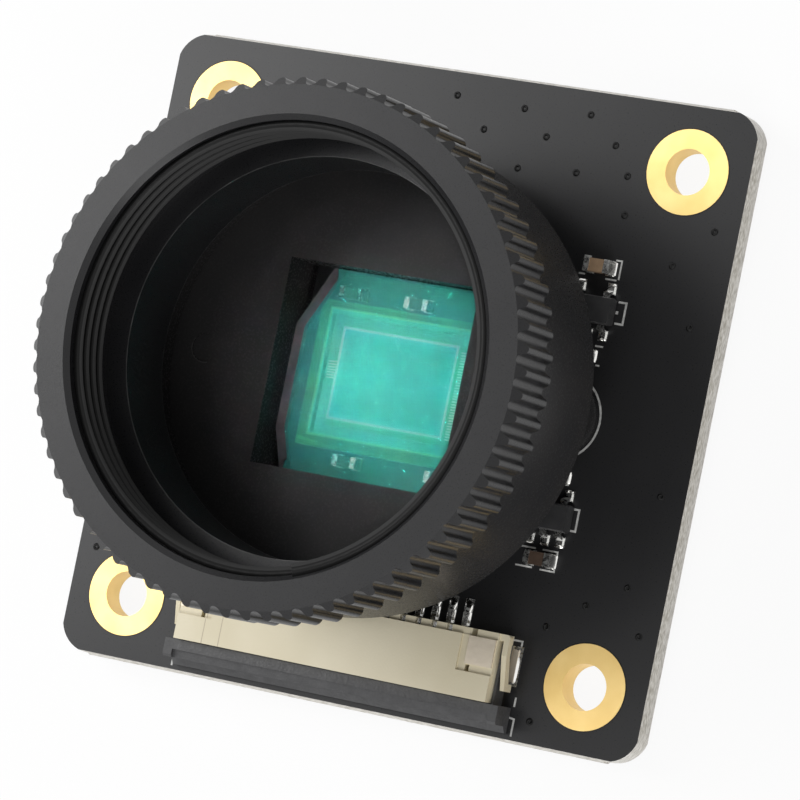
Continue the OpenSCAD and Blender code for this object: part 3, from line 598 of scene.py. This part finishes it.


# ---------------------------------------------------------------- lens holder
# Black moulded plastic, screwed to the board from behind through its two bosses. Its
# floor carries the filter's window and two round gate marks, each with a painted
# highlight along one side of its rim and a light speck at its bottom.

holder_black = shader("holder_plastic", (0.027, 0.027, 0.027), 0.26, specular=0.08)
grained(holder_black, 0.14, 0.1, rough=(0.22, 0.3),
    tones=((0.025, 0.025, 0.026), (0.031, 0.03, 0.03)), drift=3.0)
dress("lens_holder", holder_black)

GATE_X, GATE_R, GATE_LINE_WIDTH = 10.4, 0.85, 0.05
rims = {round(v.co.z / MM, 3) for v in nodes["lens_holder"].data.vertices
    if abs(math.hypot(v.co.x / MM + GATE_X, v.co.y / MM) - GATE_R) < 0.02}
rim_and_speck = shader("gate_rim_highlight_and_speck", (0.05, 0.05, 0.05), 0.4, specular=0.2)
grained(rim_and_speck, 0.1, 0.3, rough=(0.3, 0.5), tones=((0.03, 0.03, 0.03), (0.07, 0.07, 0.07)), drift=0.5)
verts, faces = [], []
for x in (-GATE_X, GATE_X):
    # The arc along the rim is a painted highlight, lighter than the holder's black.
    edge, speck = arc(x, 0, GATE_R + 0.03, 150, 290), arc(x, 0, 0.14, 200, 400, 12)
    for line, z in ((edge, max(rims)), (speck, min(rims))):
        stroke(verts, faces, line, GATE_LINE_WIDTH, z - 0.002, z + 0.006)
piece("gate_rim_highlights_and_specks", verts, faces, rim_and_speck, "board")

steel = shader("screw_steel", (0.5, 0.5, 0.5), 0.3, metal=1.0)
grained(steel, 0.1, 0.1, rough=(0.25, 0.4))
dress("holder_screws", steel)


# ---------------------------------------------------------------- filter
# Blue-green glass with sawn corners, glued in the holder's window over the package.
# Its cut edges are ground and look grey.

glass = shader("filter_glass", (0.06, 0.72, 0.6), 0.1, specular=0.12)
polished = level_faces(glass)
film = grained(glass, 1.0, 0.0, tones=((0.05, 0.66, 0.55), (0.07, 0.72, 0.63)), drift=4.0)
wire(glass, mixed(glass, polished, (0.085, 0.07, 0.078), film), bsdf_of(glass).inputs["Base Color"])
for socket, on_cut, on_face in (("Alpha", 1.0, 0.35), ("Roughness", 0.8, 0.1)):
    wire(glass, stretched(glass, polished, 0, 1, on_cut, on_face), bsdf_of(glass).inputs[socket])
dress("ir_filter", glass)

ground = shader("ground_glass", (0.095, 0.08, 0.09), 0.8, specular=0.2)
grained(ground, 0.05, 0.4, rough=(0.7, 0.9),
    tones=((0.08, 0.068, 0.076), (0.115, 0.098, 0.108)), drift=0.8)
GROUND_WIDTH, GROUND_IN, TURN_IN = 0.56, 0.29, 0.05
glass_low, glass_high = (Vector(v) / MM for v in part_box("ir_filter"))
glass_mid = (glass_low + glass_high) / 2
corners = {(round(v.co.x / MM, 4), round(v.co.y / MM, 4)) for v in nodes["ir_filter"].data.vertices}
corners = sorted(corners, key=lambda c: math.atan2(c[1] - glass_mid.y, c[0] - glass_mid.x))
corners = [Vector(c) for c in corners]
inset = []
for i, p in enumerate(corners):
    before = (p - corners[i - 1]).normalized()
    after = (corners[(i + 1) % len(corners)] - p).normalized()
    square_in = Vector((-before.y, before.x))
    inward = (square_in + Vector((-after.y, after.x))).normalized()
    inset.append(p + inward * GROUND_IN / inward.dot(square_in))
left = sorted((q for q in inset if q.x < glass_mid.x - 4), key=lambda q: q.y)
left = [left[0] + Vector((TURN_IN, 0)), *left, left[-1] + Vector((TURN_IN, 0))]
verts, faces = [], []
stroke(verts, faces, left, GROUND_WIDTH, glass_high.z - 0.002, glass_high.z + 0.006)
piece("filter_ground_edge", verts, faces, ground, "board")


# ---------------------------------------------------------------- adapter ring
# Turned aluminium, black anodised, with a knurl of round lobes. The lens thread in its
# mouth is one inch across with 32 turns to the inch, and ends in a plain bore.

ring_black = shader("ring_black", (0.013, 0.013, 0.014), 0.3, specular=0.3)
grained(ring_black, 0.07, 0.2, rough=(0.26, 0.34),
    tones=((0.011, 0.011, 0.012), (0.015, 0.015, 0.016)), drift=5.0)
dress("adapter_ring", ring_black)
ring_low, ring_high = (Vector(v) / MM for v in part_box("adapter_ring"))

THREAD_R, THREAD_DEPTH, PITCH, TURNS = 12.7, 0.43, 0.794, 4.2
THREAD_ROOT, THREAD_CREST, THREAD_START = 0.76, 0.07, 0.36
CREST_R = THREAD_R - THREAD_DEPTH
# The crests are painted lighter than the flanks: a painted highlight where they catch the light.
crest_lit_thread = shader("thread_painted_crest_highlight", (0.012, 0.012, 0.012), 0.45, specular=0.1)
grained(crest_lit_thread, 0.06, 0.25, rough=(0.34, 0.5))
at = add(crest_lit_thread, "ShaderNodeTexCoord")
flat = add(crest_lit_thread, "ShaderNodeVectorMath", operation="MULTIPLY")
flat.inputs[1].default_value = (1 / MM, 1 / MM, 0)
wire(crest_lit_thread, at.outputs["Object"], flat.inputs[0])
radius = add(crest_lit_thread, "ShaderNodeVectorMath", operation="LENGTH")
wire(crest_lit_thread, flat.outputs[0], radius.inputs[0])
below_crest = stretched(crest_lit_thread, radius.outputs["Value"], CREST_R + 0.02, CREST_R + 0.06)
wire(crest_lit_thread, ramp(crest_lit_thread, below_crest, [(0.0, (0.05, 0.05, 0.05)), (1.0, (0.012, 0.012, 0.012))]),
    bsdf_of(crest_lit_thread).inputs["Base Color"])
t, gin, gout = new_tree("inner_thread", [("Radius", "NodeSocketFloat"), ("Height", "NodeSocketFloat"),
    ("Turns", "NodeSocketFloat"), ("Root", "NodeSocketFloat"), ("Crest", "NodeSocketFloat"),
    ("Depth", "NodeSocketFloat")])
helix = t.nodes.new("GeometryNodeCurveSpiral")
helix.inputs["Resolution"].default_value = 96
helix.inputs["Reverse"].default_value = False
for a, b in (("Turns", "Rotations"), ("Radius", "Start Radius"), ("Radius", "End Radius"),
        ("Height", "Height")):
    t.links.new(gin.outputs[a], helix.inputs[b])
level = t.nodes.new("GeometryNodeSetCurveNormal")
level.mode = "Z_UP"
t.links.new(helix.outputs[0], level.inputs[0])
ridge = t.nodes.new("GeometryNodeCurvePrimitiveQuadrilateral")
ridge.mode = "TRAPEZOID"
ridge.inputs["Offset"].default_value = 0.0
for a, b in (("Root", "Bottom Width"), ("Crest", "Top Width"), ("Depth", "Height")):
    t.links.new(gin.outputs[a], ridge.inputs[b])
sweep = t.nodes.new("GeometryNodeCurveToMesh")
sweep.inputs["Fill Caps"].default_value = True
t.links.new(level.outputs[0], sweep.inputs[0])
t.links.new(ridge.outputs[0], sweep.inputs[1])
finish_tree(t, sweep.outputs[0], crest_lit_thread, gout)
thread = piece("lens_thread", [(0, 0, 0)], [], crest_lit_thread)
grow(thread, t, "ring", "ring_black", Radius=(THREAD_R - THREAD_DEPTH / 2 + 0.015) * MM,
    Height=TURNS * PITCH * MM, Turns=TURNS, Root=THREAD_ROOT * MM, Crest=THREAD_CREST * MM,
    Depth=THREAD_DEPTH * MM)
for v in thread.data.vertices:
    v.co.z += (ring_high.z - THREAD_START - TURNS * PITCH) * MM

# Painted highlights: thin lighter rings along the ledge's edge and the ring's lower end, where these edges
# catch the light.
ring_edge_glint = shader("painted_ring_edge_highlight", (0.06, 0.06, 0.06), 0.4, specular=0.3)
grained(ring_edge_glint, 0.08, 0.2, rough=(0.36, 0.48),
    tones=((0.03, 0.03, 0.03), (0.09, 0.09, 0.09)), drift=1.2)
LEDGE_R, LEDGE_Z, GLINT_WIDTH = 11.4, 14.45, 0.05
verts, faces = [], []
for z in (LEDGE_Z, ring_low.z + 0.02):
    stroke(verts, faces, arc(0, 0, LEDGE_R + 0.02, 0, 360, 120), GLINT_WIDTH, z - 0.012, z + 0.01)
piece("ring_edge_highlights", verts, faces, ring_edge_glint, "ring")


# ---------------------------------------------------------------- ribbon connector
# Cream moulded housing with sprung contacts, soldered by their tails and by a tinned
# hold-down at each end. The dark slide lock pulls out towards the board's edge.

cream = shader("cream_plastic", (0.72, 0.62, 0.45), 0.45)
cream_tone = grained(cream, 0.15, 0.15, rough=(0.4, 0.55),
    tones=((0.72, 0.65, 0.47), (0.8, 0.73, 0.55)), drift=5.0)
at = add(cream, "ShaderNodeTexCoord")
xyz = add(cream, "ShaderNodeSeparateXYZ")
wire(cream, at.outputs["Object"], xyz.inputs[0])
SEAMS, SEAM_HALF = (-8.3, -7.2), 0.03           # parting lines of the mould, along Y
for seam_x in SEAMS:
    gap = add(cream, "ShaderNodeMath", operation="COMPARE")
    gap.inputs[1].default_value = seam_x * MM
    gap.inputs[2].default_value = SEAM_HALF * MM
    wire(cream, xyz.outputs["X"], gap.inputs[0])
    cream_tone = mixed(cream, gap.outputs[0], cream_tone, (0.5, 0.43, 0.31))
wire(cream, cream_tone, bsdf_of(cream).inputs["Base Color"])
dress("fpc_housing", cream)
dress("fpc_contacts", ends)
plate = shader("hold_down_metal", (0.7, 0.62, 0.5), 0.4, metal=0.6)
grained(plate, 0.3, 0.1, rough=(0.36, 0.46))
dress("fpc_hold_downs", plate)

lock = shader("lock_plastic", (0.045, 0.045, 0.047), 0.5)
grained(lock, 0.12, 0.0, rough=(0.45, 0.65),
    tones=((0.045, 0.045, 0.047), (0.066, 0.066, 0.068)), drift=0.8)
spark = add(lock, "ShaderNodeTexNoise", Scale=5200.0, Detail=3.0)
at = add(lock, "ShaderNodeTexCoord")
wire(lock, at.outputs["Object"], spark.inputs["Vector"])
smooth_ends = outline_value(lock, (0, -18), (9.9, 2), -0.05, 0.05)
textured = add(lock, "ShaderNodeMath", operation="SUBTRACT")
textured.inputs[0].default_value = 1.0
wire(lock, smooth_ends, textured.inputs[1])
height = add(lock, "ShaderNodeMath", operation="MULTIPLY")
wire(lock, textured.outputs[0], height.inputs[0])
wire(lock, spark.outputs["Fac"], height.inputs[1])
lift = add(lock, "ShaderNodeBump", Strength=0.7, Distance=0.06 * MM)
wire(lock, height.outputs[0], lift.inputs["Height"])
wire(lock, lift.outputs["Normal"], bsdf_of(lock).inputs["Normal"])
dress("fpc_slide_lock", lock)

tails = solids_of("fpc_contacts")
first = tails[0]
verts, faces = [], []
mid_x = (first[0] + first[1]) / 2
ramp_of_solder(verts, faces, mid_x, first[3] - 0.25, 90, 0.72, 0.52, 0.26, seed=3)
for s in (-1, 1):
    ramp_of_solder(verts, faces, mid_x + s * 0.14, first[3] - 0.5, 90 - 90 * s, 0.13, 0.8, 0.17, seed=5 + s)
joints = piece("contact_joints", verts, faces, solder, smooth=True)
grow(joints, ROW, "board", "tinned_copper", Count=len(tails), Step=((tails[1][0] - tails[0][0]) * MM, 0, 0))
verts, faces = [], []
for b in solids_of("fpc_hold_downs"):
    outer_x = b[1] if b[1] > 0 else b[0]
    ramp_of_solder(verts, faces, outer_x - math.copysign(0.05, outer_x), (b[2] + b[3]) / 2 - 0.35,
        0 if outer_x > 0 else 180, 0.24, 1.6, 0.1, seed=9)
piece("hold_down_joints", verts, faces, solder, "board", smooth=True)


# ---------------------------------------------------------------- chip column
# Capacitors, small resistors and five-lead chips beside the holder, each soldered to
# its pads. Tan and dark brown ceramic, tinned ends, black epoxy.

cap_tan = shader("capacitor_tan", (0.42, 0.27, 0.16), 0.5)
grained(cap_tan, 0.1, 0.2, rough=(0.4, 0.55), tones=((0.38, 0.25, 0.15), (0.46, 0.31, 0.19)), drift=0.6)
dress("capacitor_upper", cap_tan)
dress("capacitor_lower", cap_brown)
epoxy = shader("chip_epoxy", (0.02, 0.02, 0.02), 0.5)
grained(epoxy, 0.08, 0.4, rough=(0.45, 0.62),
    tones=((0.02, 0.02, 0.021), (0.032, 0.032, 0.033)), drift=0.7)
for n in ("regulator_upper", "regulator_lower", "chip_resistors"):
    dress(n, epoxy)
for n in ("capacitor_upper_ends", "capacitor_lower_ends", "regulator_upper_leads",
        "regulator_lower_leads", "chip_resistor_ends"):
    dress(n, ends)
chip_joints("capacitor_upper_joints", "capacitor_upper_ends", 0.55, 0.2)
chip_joints("capacitor_lower_joints", "capacitor_lower_ends", 0.55, 0.2)
chip_joints("resistor_joints", "chip_resistor_ends", 0.34, 0.2)
for place in ("upper", "lower"):
    leads = solids_of("regulator_%s_leads" % place)
    mid_y = (min(b[2] for b in leads) + max(b[3] for b in leads)) / 2
    end_joints("regulator_%s_joints" % place,
        [(*b[:4], 90 if (b[2] + b[3]) / 2 > mid_y else 270) for b in leads], 0.2, 0.18)


# ---------------------------------------------------------------- studio
# A pale floor under the board that can be looked through from below, a white surround,
# a large soft key lamp where glossy faces mirror it, a soft fill lamp over the connector,
# and a narrow one straight down the holder's barrel.

def plainly_seen(owner):
    """1 for rays from the camera, from glossy faces and through glass, 0 for the rest."""
    paths = add(owner, "ShaderNodeLightPath")
    seen = paths.outputs["Is Camera Ray"]
    for kind in ("Is Glossy Ray", "Is Transmission Ray"):
        either = add(owner, "ShaderNodeMath", operation="MAXIMUM")
        wire(owner, seen, either.inputs[0])
        wire(owner, paths.outputs[kind], either.inputs[1])
        seen = either.outputs[0]
    return seen


def shader_mix(owner, factor, a, b):
    """Shader a where the factor is 0 and b where it is 1."""
    m = add(owner, "ShaderNodeMixShader")
    for value, socket in zip((factor, a, b), m.inputs):
        wire(owner, value, socket)
    return m.outputs[0]


FLOOR_Z, FLOOR_GLOW, SKY_LIGHT = -0.00102, 0.92, 0.32
mesh = bpy.data.meshes.new("studio_floor")
mesh.from_pydata([(x, y, FLOOR_Z) for x, y in ((-1, -1), (1, -1), (1, 1), (-1, 1))], [], [(0, 1, 2, 3)])
floor = bpy.data.objects.new("studio_floor", mesh)
bpy.context.scene.collection.objects.link(floor)
pale = shader("pale_floor", (0.9, 0.9, 0.9), 0.8)
mesh.materials.append(pale)
share = add(pale, "ShaderNodeMath", operation="MULTIPLY")
share.inputs[1].default_value = FLOOR_GLOW
wire(pale, plainly_seen(pale), share.inputs[0])
bright = add(pale, "ShaderNodeEmission", Strength=1.0)
from_above = shader_mix(pale, share.outputs[0], bsdf_of(pale).outputs[0], bright.outputs[0])
facing = add(pale, "ShaderNodeNewGeometry")
clear = add(pale, "ShaderNodeBsdfTransparent")
one_way = shader_mix(pale, facing.outputs["Backfacing"], from_above, clear.outputs[0])
wire(pale, one_way, pale.node_tree.nodes["Material Output"].inputs[0])

world = bpy.data.worlds.new("studio")
bpy.context.scene.world = world
world.use_nodes = True
dim = world.node_tree.nodes["Background"]
dim.inputs["Color"].default_value = (1, 1, 1, 1)
dim.inputs["Strength"].default_value = SKY_LIGHT
full = add(world, "ShaderNodeBackground", Color=(1, 1, 1, 1))
surround = shader_mix(world, plainly_seen(world), dim.outputs[0], full.outputs[0])
wire(world, surround, world.node_tree.nodes["World Output"].inputs[0])


def lamp(name, place, radius, glow):
    """A soft round lamp that faces the part; glow is how bright its face looks."""
    data = bpy.data.lights.new(name, "AREA")
    data.shape = "DISK"
    data.size = 2 * radius
    data.energy = glow * math.pi ** 2 * radius ** 2
    o = bpy.data.objects.new(name, data)
    bpy.context.scene.collection.objects.link(o)
    o.location = place
    o.visible_camera = False
    o.rotation_euler = (-Vector(place)).to_track_quat("-Z", "Y").to_euler()
    return o


lamp("key_lamp", (-0.151, 0.039, 0.154), 0.076, 5.2)
lamp("fill_lamp", (0.21, -0.42, 0.4), 0.22, 3.4)
snoot = lamp("snoot_lamp", (0.0, 0.01, 0.3), 0.006, 1.4)
snoot.data.spread = math.radians(2.4)

cam_data = bpy.data.cameras.new("camera")
cam_data.sensor_width = 36
cam_data.lens = 212.82
cam_data.clip_start = 0.02
camera = bpy.data.objects.new("camera", cam_data)
bpy.context.scene.collection.objects.link(camera)
camera.location = (0.11665, -0.01392, 0.2514)
camera.rotation_euler = Euler([math.radians(a) for a in (7.947, 23.948, 12.531)], "XYZ")
bpy.context.scene.camera = camera
bpy.context.scene.view_settings.view_transform = "Standard"
